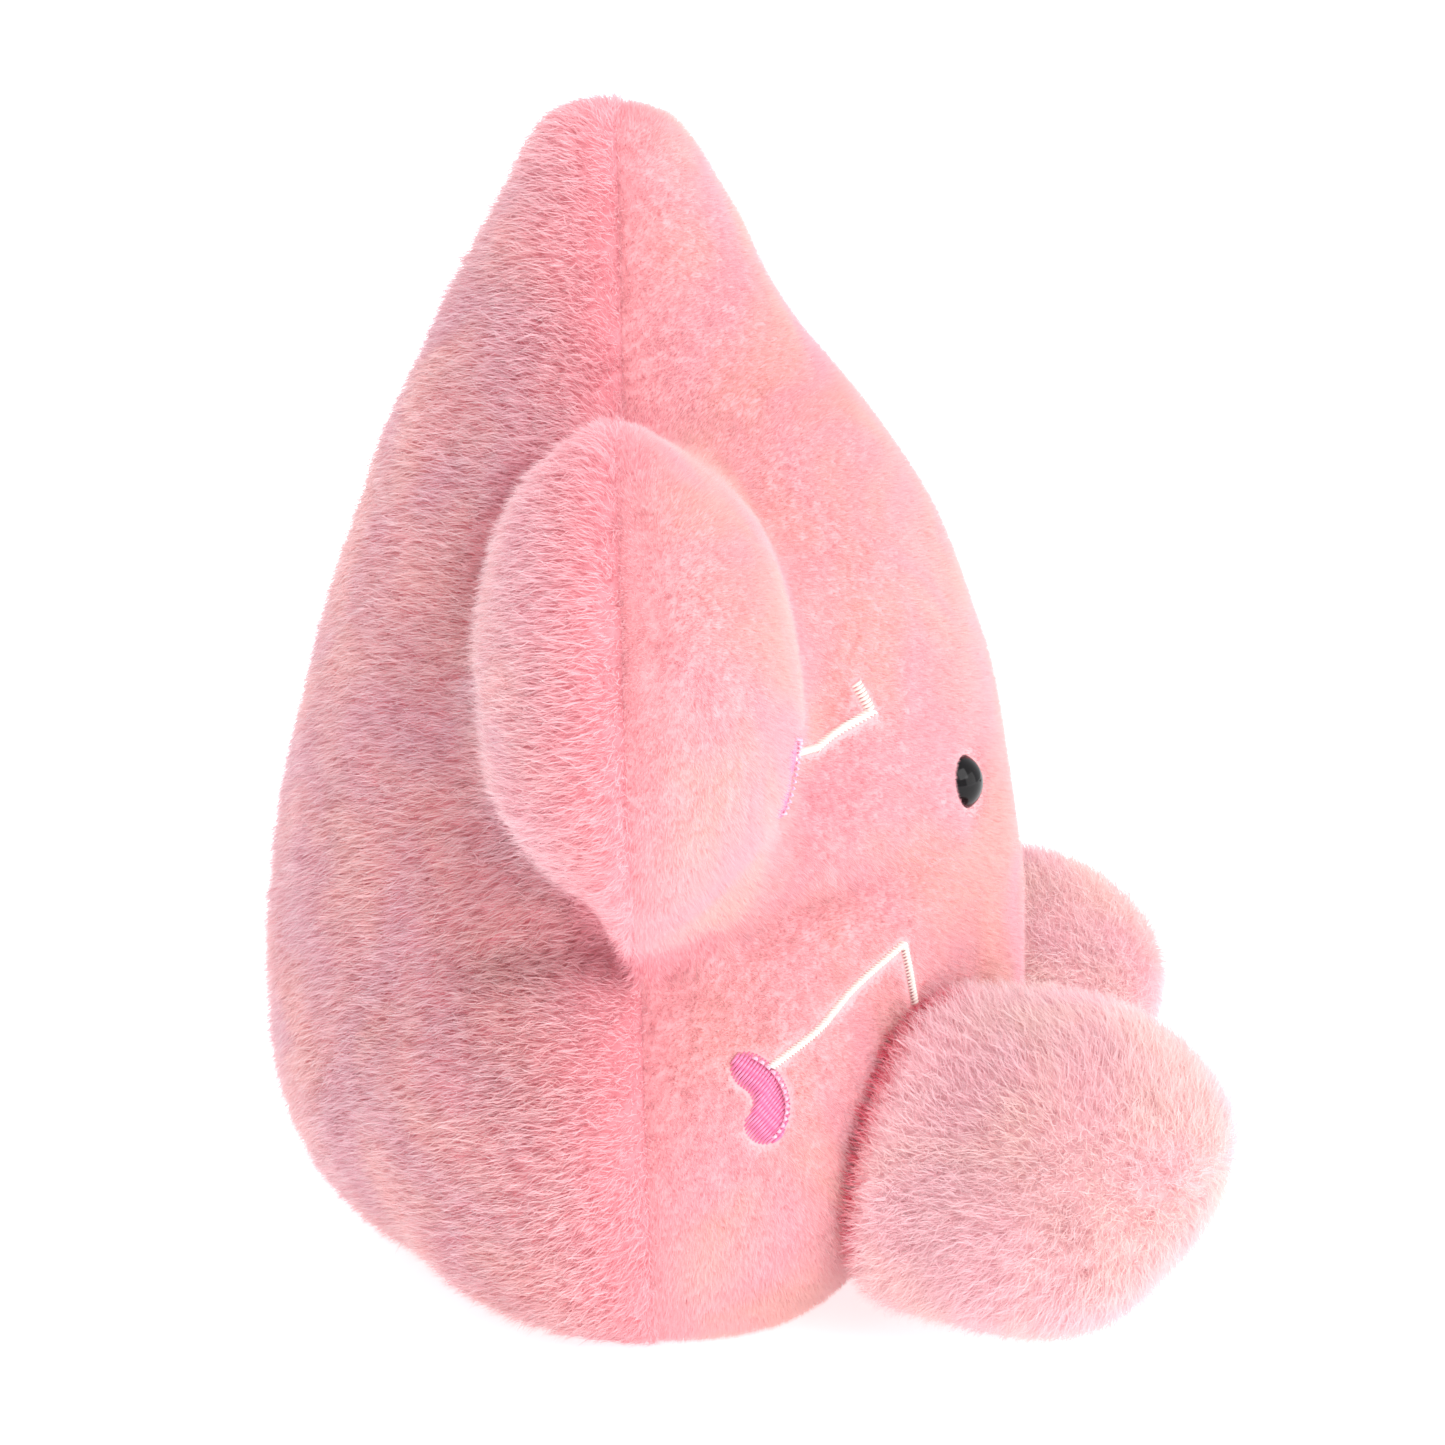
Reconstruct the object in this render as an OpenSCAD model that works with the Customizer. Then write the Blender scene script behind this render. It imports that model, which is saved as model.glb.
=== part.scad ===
// Star-shaped sitting plush toy with two furry ball feet.
// Millimetres. +Z is up, the toy faces -Y, and X = 0 is its mirror plane.
// The origin is on the seat plane, under the middle of the whole toy's box.
// Right and left are the toy's own, so its right side is -X.

/* [Body] */
// Height from the seat to the tip of the top arm
toy_height = 125; // [122:1:128]
// Radius of the body at its widest, round the belly
belly_radius = 41; // [39:0.5:42]
// Height of the widest place above the seat
belly_height = 30; // [29:0.5:31]
// Radius of the blunt tip of the top arm
tip_radius = 11; // [10:0.5:12]
// Radius of the rounded edge between the body's side and its seat
base_radius = 24; // [22:0.5:25]
// How far the star leans back, in degrees
lean = 2; // [0:0.5:3]

/* [Side arms] */
// Distance from the mirror plane to the middle of a side arm
arm_out = 38; // [37:0.5:39]
// Height of the middle of a side arm
arm_up = 71.5; // [70.5:0.5:73]
// Half sizes of a side arm: outward, front to back, and up
arm_half = [23, 17, 28.5];

/* [Lower lobes] */
// Distance from the mirror plane to the middle of a lower lobe
lobe_out = 26; // [25:0.5:27]
// Height of the middle of a lower lobe
lobe_up = 22; // [21:0.5:23]
// Half sizes of a lower lobe: outward, front to back, and up
lobe_half = [23, 29, 26];

/* [Plush] */
// Thickness of the short-pile front panel, backing and pile
front_thick = 3; // [2.5:0.5:3]
// Thickness of the long-pile back panel, backing and pile
back_thick = 5; // [4.5:0.5:5.5]
// Thickness of a foot's long-pile skin
foot_thick = 4; // [3:0.5:5]

/* [Feet] */
// Distance from the mirror plane to the middle of a foot
foot_out = 28.5; // [27:0.5:29]
// Distance of the middle of a foot in front of the body's own axis
foot_ahead = 41; // [40.5:0.5:41.5]
// Half sizes of a foot: sideways, front to back, and up
foot_half = [21, 20, 18];

/* [Eyes] */
// Diameter of an eye's dome
eye_diameter = 6.5; // [6:0.5:7]
// Angle of an eye round the body from straight ahead, in degrees
eye_angle = 26; // [25:1:32]
// Height of an eye above the seat
eye_height = 55; // [53:0.5:57]

/* [Embroidery] */
// Width of a white line
line_width = 0.9; // [0.7:0.1:1.2]
// How far the thread stands up from the panel
thread_raise = 0.5; // [0.3:0.1:0.6]

/* [Hidden] */
$fn = 72;

RIGHT = -1;
LEFT = 1;

// The side of the body's outline is one arc, from the belly to the tip.
tip_up = toy_height - tip_radius;
narrowing = belly_radius - tip_radius;
side_radius = (narrowing ^ 2 + (tip_up - belly_height) ^ 2) / (2 * narrowing);
side_centre = belly_radius - side_radius;

// Larger than the toy, for cutting away a half of it
far = 200;
// The body's axis stands this far behind the middle of the toy's box.
body_back = (foot_ahead + foot_half.y - belly_radius) / 2;
// Free space between pieces that lie against each other inside the toy
inner_gap = 0.2;

// Seam between the panels: a flat ribbon of thread inside the edge
seam_half_width = 0.4;
seam_thick = 0.6;
// Heights between which the seam is closed by hand, and the distance between the bars
closing_from = 12;
closing_to = 32;
closing_pitch = 4;
closing_bar_radius = 0.25;
closing_bar_length = 1.5;

// Pellet bag in the seat
bag_half = [26, 23, 12];
bag_up = 19.5;
bag_wall = 0.6;
// Height to which the pellets fill the bag
pellet_level = 24;

// Eye: the dome sits in the pile, and the stem goes through the panel to the washer.
eye_sink = 1.2;
eye_dome = 2.9;
eye_recess_gap = 0.2;
stem_radius = 1.1;
stem_length = 8;
stem_hole_radius = 1.2;
washer_radius = 4.5;
washer_bore_radius = 1.15;
washer_thick = 1;
washer_depth = front_thick + 0.4;

// Feet: each one's lowest slice is flat on the seat plane.
foot_up = foot_half.z - 1;
// Gap between a foot and the body at rest. A foot tips up about a line just above its seam,
// [27.5 ahead of the body's axis, 33 up], so the gap only grows below that line.
foot_gap = 0.9;
// Thread ring that sews a foot on: the way that it faces, its place across and up, its size
foot_seam_angle = 33;
foot_seam_across = 7.5;
foot_seam_up = 17.5;
foot_seam_radius = 14;
foot_seam_width = 0.8;
foot_seam_raise = 0.3;

// Embroidery. Places are outward and up, as seen from the way that each figure faces.
arm_facing = 0;
arm_line_points = [[27, 66], [27, 63], [32.5, 60.6], [39.5, 61.5]];
arm_crescent_at = [43.5, 60];
hip_facing = 50;
hip_line_points = [[-2.5, 33.5], [-1.5, 40], [17.8, 31.2]];
hip_crescent_at = [21.7, 28.5];
// A crescent is a fat arc with round ends.
crescent_radius = 3.4;
crescent_width = 3.8;
crescent_half_angle = 52;

// The round of the seat's edge would end this far below the seat, where the flat cuts it.
base_cut = 1;

// Radius of the body of revolution at a height above the belly
function body_radius_at(z) = side_centre + sqrt(side_radius ^ 2 - (z - belly_height) ^ 2);

// Outward distance of a lower lobe's surface on the seam plane, inset from the true surface
function lobe_reach_at(z, inset) =
    lobe_out + (lobe_half.x - inset) * sqrt(1 - ((z - lobe_up) / (lobe_half.z - inset)) ^ 2);

// Turns a piece about the middle of the belly, by the star's lean, backwards for angle = -lean
module turned(angle) {
    translate([0, 0, belly_height])
    rotate([angle, 0, 0])
    translate([0, 0, -belly_height])
    children();
}

// Moves a piece from the star's own upright axis to its place in the toy
module placed() {
    translate([0, body_back, 0]) turned(-lean) children();
}

// Half outline of the body of revolution, inset from the true surface
module body_outline(inset) {
    intersection() {
        translate([side_centre, belly_height]) circle(r = side_radius - inset, $fn = 240);
        translate([0, belly_height]) square([far, tip_up - belly_height]);
    }
    translate([0, base_radius - base_cut]) {
        square([belly_radius - inset, belly_height - base_radius + base_cut]);
        intersection() {
            translate([belly_radius - base_radius, 0]) circle(r = base_radius - inset);
            translate([0, -far]) square(far);
        }
    }
    translate([0, inset - base_cut])
    square([belly_radius - base_radius, base_radius - inset]);
    intersection() {
        translate([0, tip_up]) circle(r = tip_radius - inset);
        translate([0, belly_height]) square(far);
    }
}

module ellipsoid(half, inset) {
    scale([half.x - inset, half.y - inset, half.z - inset]) sphere(r = 1);
}

// The stuffed star before the seat is cut flat. A negative inset makes it larger.
module round_star(inset) {
    rotate_extrude() body_outline(inset);
    for (side = [RIGHT, LEFT]) {
        translate([side * arm_out, 0, arm_up]) ellipsoid(arm_half, inset);
        translate([side * lobe_out, 0, lobe_up]) ellipsoid(lobe_half, inset);
    }
}

module star(inset) {
    intersection() {
        round_star(inset);
        turned(lean) translate([-far / 2, -far / 2, inset]) cube(far);
    }
}

// All space from a plane y = limit to the front, and to the back
module ahead_of(limit) {
    translate([-far / 2, limit - far, -far / 2]) cube([far, far, 2 * far]);
}

module behind(limit) {
    translate([-far / 2, limit, -far / 2]) cube([far, far, 2 * far]);
}

// A place on the body's front with +Z along the outward normal
module at_eye(side) {
    lift = asin((eye_height - belly_height) / side_radius);
    rotate([0, 0, side * eye_angle])
    translate([0, -body_radius_at(eye_height), eye_height])
    rotate([90 - lift, 0, 0])
    children();
}

// Short-pile plush star, the face side, with a hole and a parting of the pile for each eye
module front_panel() {
    color("lightpink")
    placed()
    difference() {
        intersection() {
            star(0);
            ahead_of(0);
        }
        star(front_thick);
        for (side = [RIGHT, LEFT]) {
            at_eye(side) {
                translate([0, 0, -eye_sink]) cylinder(r = eye_diameter / 2 + eye_recess_gap, h = far);
                translate([0, 0, -stem_length]) cylinder(r = stem_hole_radius, h = stem_length);
            }
        }
    }
}

// Long-pile plush star, the back side
module back_panel() {
    color("pink")
    placed()
    difference() {
        intersection() {
            star(0);
            behind(0);
        }
        star(back_thick);
    }
}

// Polyester fibre, with room for the pellet bag, the eye washers and the seam thread
module body_stuffing() {
    clear_of_seam = back_thick + seam_thick + inner_gap;
    color("white")
    placed()
    difference() {
        union() {
            intersection() {
                star(front_thick + inner_gap);
                ahead_of(-closing_bar_length);
            }
            intersection() {
                star(clear_of_seam);
                behind(-closing_bar_length);
            }
        }
        translate([0, 0, bag_up]) ellipsoid(bag_half, -inner_gap);
        for (side = [RIGHT, LEFT]) {
            at_eye(side)
            translate([0, 0, -eye_sink - stem_length - inner_gap])
            cylinder(r = washer_radius + inner_gap, h = stem_length);
        }
    }
}

// Thin bag of cloth in the seat
module pellet_bag() {
    color("ivory")
    placed()
    translate([0, 0, bag_up])
    difference() {
        ellipsoid(bag_half, 0);
        ellipsoid(bag_half, bag_wall);
    }
}

// Plastic pellets, as one settled mass that is level on top
module pellets() {
    color("whitesmoke")
    placed()
    intersection() {
        translate([0, 0, bag_up]) ellipsoid(bag_half, bag_wall + inner_gap);
        translate([-far / 2, -far / 2, pellet_level - far]) cube(far);
    }
}

// Outline of the star on the seam plane, inset from the true edge
module seam_outline(inset) {
    intersection() {
        union() {
            for (side = [RIGHT, LEFT]) {
                mirror([side == RIGHT ? 1 : 0, 0]) body_outline(inset);
                translate([side * arm_out, arm_up])
                scale([arm_half.x - inset, arm_half.z - inset]) circle(r = 1);
                translate([side * lobe_out, lobe_up])
                scale([lobe_half.x - inset, lobe_half.z - inset]) circle(r = 1);
            }
        }
        translate([-far / 2, inset]) square(far);
    }
}

// Machine seam that joins the panels all round, but for the gap that is closed by hand
module panel_seam() {
    color("hotpink")
    placed()
    rotate([90, 0, 0])
    linear_extrude(height = 2 * seam_half_width, center = true)
    difference() {
        seam_outline(back_thick);
        seam_outline(back_thick + seam_thick);
        translate([lobe_out, closing_from - closing_pitch / 2])
        square([far, closing_to - closing_from + closing_pitch]);
    }
}

// Ladder stitch over the turning gap: one short bar of thread at each step
module closing_stitch() {
    color("hotpink")
    placed()
    for (z = [closing_from : closing_pitch : closing_to]) {
        translate([lobe_reach_at(z, back_thick) - seam_thick / 2 - inner_gap / 2, 0, z])
        rotate([90, 0, 0])
        cylinder(r = closing_bar_radius, h = closing_bar_length, center = true);
    }
}

// Black moulded eye: a cap of a sphere on a stem
module eye(side) {
    dome_radius = ((eye_diameter / 2) ^ 2 + eye_dome ^ 2) / (2 * eye_dome);
    color("black")
    placed()
    at_eye(side)
    translate([0, 0, -eye_sink]) {
        intersection() {
            translate([0, 0, eye_dome - dome_radius]) sphere(r = dome_radius);
            cylinder(r = eye_diameter / 2, h = eye_dome);
        }
        translate([0, 0, -stem_length]) cylinder(r = stem_radius, h = stem_length);
    }
}

// Push-on washer inside the panel
module eye_washer(side) {
    color("gainsboro")
    placed()
    at_eye(side)
    translate([0, 0, -washer_depth - washer_thick])
    difference() {
        cylinder(r = washer_radius, h = washer_thick);
        translate([0, 0, -washer_thick]) cylinder(r = washer_bore_radius, h = 3 * washer_thick);
    }
}

// A line of thread through the points, with round corners and ends
module thread_line(points) {
    for (i = [0 : len(points) - 1]) {
        translate(points[i]) circle(d = line_width, $fn = 24);
    }
    for (i = [1 : len(points) - 1]) {
        step = points[i] - points[i - 1];
        translate(points[i - 1])
        rotate([0, 0, atan2(step.y, step.x)])
        translate([0, -line_width / 2]) square([norm(step), line_width]);
    }
}

// Fat arc with round ends that bulges towards the middle of the toy
module crescent(at, grow) {
    half_width = crescent_width / 2 + grow;
    corner = 3 * crescent_radius;
    translate(at) {
        intersection() {
            difference() {
                circle(r = crescent_radius + half_width);
                circle(r = crescent_radius - half_width);
            }
            polygon([
                [0, 0],
                corner * [-cos(crescent_half_angle), sin(crescent_half_angle)],
                corner * [-1, 0] * 2,
                corner * [-cos(crescent_half_angle), -sin(crescent_half_angle)]
            ]);
        }
        for (angle = [180 - crescent_half_angle, 180 + crescent_half_angle]) {
            translate(crescent_radius * [cos(angle), sin(angle)]) circle(r = half_width, $fn = 32);
        }
    }
}

// A flat outline laid on the front of the star as a raised skin of thread
module sewn_on(side, facing, raise) {
    intersection() {
        difference() {
            round_star(-raise);
            round_star(0);
        }
        mirror([side == RIGHT ? 1 : 0, 0, 0])
        rotate([90, 0, facing])
        linear_extrude(height = far) children();
    }
}

// White line on a side arm: up the body, then out along the arm to the crescent
module arm_line(side) {
    color("floralwhite")
    placed()
    sewn_on(side, arm_facing, thread_raise)
    difference() {
        thread_line(arm_line_points);
        crescent(arm_crescent_at, inner_gap);
    }
}

// White line on a lower lobe: a peak beside the belly, then out to the crescent
module hip_line(side) {
    color("floralwhite")
    placed()
    sewn_on(side, hip_facing, thread_raise)
    difference() {
        thread_line(hip_line_points);
        crescent(hip_crescent_at, inner_gap);
    }
}

module arm_crescent(side) {
    color("hotpink")
    placed()
    sewn_on(side, arm_facing, thread_raise) crescent(arm_crescent_at, 0);
}

module hip_crescent(side) {
    color("hotpink")
    placed()
    sewn_on(side, hip_facing, thread_raise) crescent(hip_crescent_at, 0);
}

// A foot's ball, inset from its true surface, flat where it stands and hollowed for the body
module foot_ball(side, inset) {
    clear = foot_gap + inset;
    difference() {
        intersection() {
            translate([side * foot_out, -foot_ahead, foot_up]) ellipsoid(foot_half, inset);
            translate([-far / 2, -far / 2, inset]) cube(far);
        }
        turned(-lean) {
            rotate_extrude() body_outline(-clear);
            translate([side * lobe_out, 0, lobe_up]) ellipsoid(lobe_half, -clear);
        }
    }
}

// Long-pile plush circle, gathered into a ball
module foot_skin(side) {
    color("lightpink")
    translate([0, body_back, 0])
    difference() {
        foot_ball(side, 0);
        foot_ball(side, foot_thick);
    }
}

module foot_stuffing(side) {
    color("white")
    translate([0, body_back, 0])
    foot_ball(side, foot_thick + inner_gap);
}

// Ring of thread on the front panel that sews a foot on
module foot_seam(side) {
    color("hotpink")
    placed()
    sewn_on(side, foot_seam_angle, foot_seam_raise)
    translate([foot_seam_across, foot_seam_up])
    difference() {
        circle(r = foot_seam_radius);
        circle(r = foot_seam_radius - foot_seam_width);
    }
}

module right_eye() { eye(RIGHT); }
module left_eye() { eye(LEFT); }
module right_eye_washer() { eye_washer(RIGHT); }
module left_eye_washer() { eye_washer(LEFT); }
module right_arm_line() { arm_line(RIGHT); }
module left_arm_line() { arm_line(LEFT); }
module right_hip_line() { hip_line(RIGHT); }
module left_hip_line() { hip_line(LEFT); }
module right_arm_crescent() { arm_crescent(RIGHT); }
module left_arm_crescent() { arm_crescent(LEFT); }
module right_hip_crescent() { hip_crescent(RIGHT); }
module left_hip_crescent() { hip_crescent(LEFT); }
module right_foot_skin() { foot_skin(RIGHT); }
module left_foot_skin() { foot_skin(LEFT); }
module right_foot_stuffing() { foot_stuffing(RIGHT); }
module left_foot_stuffing() { foot_stuffing(LEFT); }
module right_foot_seam() { foot_seam(RIGHT); }
module left_foot_seam() { foot_seam(LEFT); }

front_panel();
back_panel();
body_stuffing();
pellet_bag();
pellets();
panel_seam();
closing_stitch();
right_eye();
left_eye();
right_eye_washer();
left_eye_washer();
right_arm_line();
left_arm_line();
right_hip_line();
left_hip_line();
right_arm_crescent();
left_arm_crescent();
right_hip_crescent();
left_hip_crescent();
right_foot_skin();
left_foot_skin();
right_foot_stuffing();
left_foot_stuffing();
right_foot_seam();
left_foot_seam();
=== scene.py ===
import math

import bpy
import numpy as np
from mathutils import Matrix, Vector
from mathutils.bvhtree import BVHTree
from mathutils.kdtree import KDTree


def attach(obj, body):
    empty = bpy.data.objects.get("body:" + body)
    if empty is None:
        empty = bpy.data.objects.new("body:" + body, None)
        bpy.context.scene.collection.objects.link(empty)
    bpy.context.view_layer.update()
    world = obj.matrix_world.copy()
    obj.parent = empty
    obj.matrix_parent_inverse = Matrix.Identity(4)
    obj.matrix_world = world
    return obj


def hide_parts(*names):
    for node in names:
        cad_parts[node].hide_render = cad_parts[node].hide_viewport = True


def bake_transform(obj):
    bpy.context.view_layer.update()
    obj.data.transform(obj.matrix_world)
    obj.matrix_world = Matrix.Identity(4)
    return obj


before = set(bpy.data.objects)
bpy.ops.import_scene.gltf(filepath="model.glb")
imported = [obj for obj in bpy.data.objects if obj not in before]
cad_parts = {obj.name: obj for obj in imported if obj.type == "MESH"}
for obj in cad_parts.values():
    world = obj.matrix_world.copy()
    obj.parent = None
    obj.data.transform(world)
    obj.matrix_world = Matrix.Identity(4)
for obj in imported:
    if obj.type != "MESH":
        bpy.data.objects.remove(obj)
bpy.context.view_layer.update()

bpy.ops.object.select_all(action="DESELECT")
MM = 0.001

# ---------------------------------------------------------------------------------------------
# The view. The toy is seen from its own right side, a little above, by a long lens. Colours are
# shown as they are, without a film curve, because the toy is lit bright and even.
# ---------------------------------------------------------------------------------------------
VIEW_ELEVATION = math.radians(15.0)
VIEW_DISTANCE = 473 * MM
LOOK_AT = Vector((0.0, 2.1 * MM, 58.1 * MM))
LENS_MM = 107.0
SENSOR_MM = 36.0

view_back = Vector((-math.cos(VIEW_ELEVATION), 0.0, math.sin(VIEW_ELEVATION)))
bpy.ops.object.camera_add(
    location=LOOK_AT + view_back * VIEW_DISTANCE,
    rotation=view_back.to_track_quat("Z", "Y").to_euler(),
)
camera = bpy.context.object
camera.data.lens = LENS_MM
camera.data.sensor_width = SENSOR_MM
camera.data.clip_start = 10 * MM
bpy.context.scene.camera = camera
bpy.context.scene.view_settings.view_transform = "Standard"


# ---------------------------------------------------------------------------------------------
# The table and the light tent. The toy stands on opal plastic that is lit faintly from below,
# with white cloth all round and three large soft lamps outside it, so there is hardly a shadow.
# ---------------------------------------------------------------------------------------------
TABLE_SIZE = 6.0
TENT_LIGHT = 1.0
KEY_PLACE = (-0.75, -0.75, 0.95)
KEY_SIZE = 0.9
KEY_WATTS = 7.0
BACK_PLACE = (0.7, 0.5, 1.0)
BACK_SIZE = 0.9
BACK_WATTS = 3.0
FRONT_PLACE = (-0.35, -1.1, 0.25)
FRONT_SIZE = 0.9
FRONT_WATTS = 3.5
TABLE_HEX = "#FAFAFA"
TABLE_GLOW = 0.6
TENT_HEX = "#FBFBFF"


def linear(hex_colour):
    """A colour as Blender's shaders hold it, from its sRGB hex value."""
    parts = [int(hex_colour[i:i + 2], 16) / 255 for i in (1, 3, 5)]
    return [p / 12.92 if p <= 0.04045 else ((p + 0.055) / 1.055) ** 2.4 for p in parts] + [1.0]


def add(tree, kind, settings=None, links=None):
    """Adds a node. Settings are its properties or sockets, and links its inputs' sources."""
    node = tree.nodes.new(kind)
    for name, value in (settings or {}).items():
        if isinstance(name, str) and hasattr(node, name):
            setattr(node, name, value)
        else:
            node.inputs[name].default_value = value
    for name, source in (links or {}).items():
        tree.links.new(source, node.inputs[name])
    return node


def new_material(name):
    """An empty material, its node tree and its shader."""
    material = bpy.data.materials.new(name)
    material.use_nodes = True
    tree = material.node_tree
    return material, tree, tree.nodes["Principled BSDF"]


def pattern(tree, kind, settings):
    """A procedural pattern that stays fixed to the piece."""
    place = add(tree, "ShaderNodeTexCoord")
    return add(tree, kind, settings, {"Vector": place.outputs["Object"]})


def colour_by(tree, shader, share, low_hex, high_hex):
    """Runs the base colour from one hex value to the other as share goes from 0 to 1."""
    mix = add(tree, "ShaderNodeMix", {"data_type": "RGBA", 6: linear(low_hex), 7: linear(high_hex)},
              {0: share})
    tree.links.new(mix.outputs[2], shader.inputs["Base Color"])


def raise_by(tree, shader, height, strength, distance, invert=False):
    """Roughens the surface by a pattern's height."""
    bump = add(tree, "ShaderNodeBump", {"Strength": strength, "Distance": distance, "invert": invert},
               {"Height": height})
    tree.links.new(bump.outputs["Normal"], shader.inputs["Normal"])


def wear(piece, material):
    """Gives a piece one material all over."""
    piece.data.materials.clear()
    piece.data.materials.append(material)


# Opal acrylic sheet: white, matte and glowing, with a faint mottle from the lamps below it.
card, tree, shader = new_material("opal acrylic sheet")
shader.inputs["Emission Color"].default_value = (1, 1, 1, 1)
shader.inputs["Emission Strength"].default_value = TABLE_GLOW
shader.inputs["Roughness"].default_value = 0.9
shader.inputs["Specular IOR Level"].default_value = 0.1
mottle = pattern(tree, "ShaderNodeTexNoise", {"Scale": 3.0})
colour_by(tree, shader, mottle.outputs["Fac"], TABLE_HEX, "#FFFFFF")

bpy.ops.mesh.primitive_plane_add(size=TABLE_SIZE)
table = bpy.context.object
table.name = "table"
wear(table, card)

world = bpy.data.worlds.new("light tent")
bpy.context.scene.world = world
world.use_nodes = True
world.node_tree.nodes["Background"].inputs["Color"].default_value = linear(TENT_HEX)
world.node_tree.nodes["Background"].inputs["Strength"].default_value = TENT_LIGHT
for name, spot, size, watts in (
    ("key lamp", KEY_PLACE, KEY_SIZE, KEY_WATTS),
    ("back lamp", BACK_PLACE, BACK_SIZE, BACK_WATTS),
    ("front lamp", FRONT_PLACE, FRONT_SIZE, FRONT_WATTS),
):
    aim = Vector(spot) - LOOK_AT
    bpy.ops.object.light_add(type="AREA", location=spot, rotation=aim.to_track_quat("Z", "Y").to_euler())
    lamp = bpy.context.object
    lamp.name = name
    lamp.data.size = size
    lamp.data.energy = watts
bpy.ops.object.select_all(action="DESELECT")

# ---------------------------------------------------------------------------------------------
# The stuffed star: five soft arms, sewn from two panels of plush and filled hard with fibre.
# It is shaped upright with its axis at y = 0, swollen by a cloth simulation that the seam holds
# in, pressed and creased as the filling leaves it, and then leant back into its place.
# ---------------------------------------------------------------------------------------------
TOY_HEIGHT = 125 * MM
BELLY_RADIUS = 41 * MM
BELLY_UP = 30 * MM
TIP_RADIUS = 11 * MM
BASE_RADIUS = 24 * MM
BASE_CUT = 1 * MM
BODY_BACK = 10 * MM
LEAN = math.radians(2)
ARM_OUT = 38 * MM
ARM_UP = 71.5 * MM
ARM_HALF = (23 * MM, 15.5 * MM, 28.5 * MM)
LOBE_OUT = 26 * MM
LOBE_UP = 22 * MM
LOBE_HALF = (23 * MM, 29 * MM, 26 * MM)
SKIN_VOXEL = 3 * MM
SKIN_INSET = 1.5 * MM
HELD_BAND = 2 * MM
MOST_SWELL = 1.2 * MM
SIDES = {"right": -1, "left": 1}


def star_to_frame(points):
    """Leans points of the upright star back and moves them to the toy's place."""
    up = points[:, 2] - BELLY_UP
    y = points[:, 1] * math.cos(LEAN) + up * math.sin(LEAN) + BODY_BACK
    z = up * math.cos(LEAN) - points[:, 1] * math.sin(LEAN) + BELLY_UP
    return np.column_stack([points[:, 0], y, z])


def frame_to_star(points):
    """The upright star's own coordinates of points in the toy's frame."""
    ahead = points[:, 1] - BODY_BACK
    up = points[:, 2] - BELLY_UP
    y = ahead * math.cos(LEAN) - up * math.sin(LEAN)
    z = ahead * math.sin(LEAN) + up * math.cos(LEAN) + BELLY_UP
    return np.column_stack([points[:, 0], y, z])


def points_of(piece):
    """A piece's points as rows of x, y and z."""
    flat = np.empty(3 * len(piece.data.vertices))
    piece.data.vertices.foreach_get("co", flat)
    return flat.reshape(-1, 3)


def normals_of(piece):
    """The outward direction at each of a piece's points."""
    flat = np.empty(3 * len(piece.data.vertices))
    piece.data.vertices.foreach_get("normal", flat)
    return flat.reshape(-1, 3)


def move_points(piece, points):
    """Puts a piece's points at new places."""
    piece.data.vertices.foreach_set("co", points.ravel())
    piece.data.update()


def use_only(piece):
    """Makes one piece the only selected and active one."""
    bpy.ops.object.select_all(action="DESELECT")
    piece.select_set(True)
    bpy.context.view_layer.objects.active = piece


def apply_modifier(piece, kind, **settings):
    """Adds a modifier with its settings and applies it."""
    use_only(piece)
    modifier = piece.modifiers.new(kind.lower(), kind)
    for name, value in settings.items():
        setattr(modifier, name, value)
    bpy.ops.object.modifier_apply(modifier=modifier.name)


def smooth_step(value):
    """From 0 to 1 as value goes from 0 to 1, level at both ends."""
    held = np.clip(value, 0, 1)
    return held * held * (3 - 2 * held)


def hump(distance, width):
    """1 where distance is 0, and falling off to nothing over about twice the width."""
    return np.exp(-((distance / width) ** 2))


def distance_to_path(points, path):
    """How far each point is from the nearest place on a path of straight stretches."""
    nearest = np.full(len(points), np.inf)
    for start, end in zip(path[:-1], path[1:]):
        step = np.array(end) - np.array(start)
        along = np.clip((points - start) @ step / (step @ step), 0, 1)
        gap = np.linalg.norm(points - (start + along[:, None] * step), axis=1)
        nearest = np.minimum(nearest, gap)
    return nearest


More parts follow.
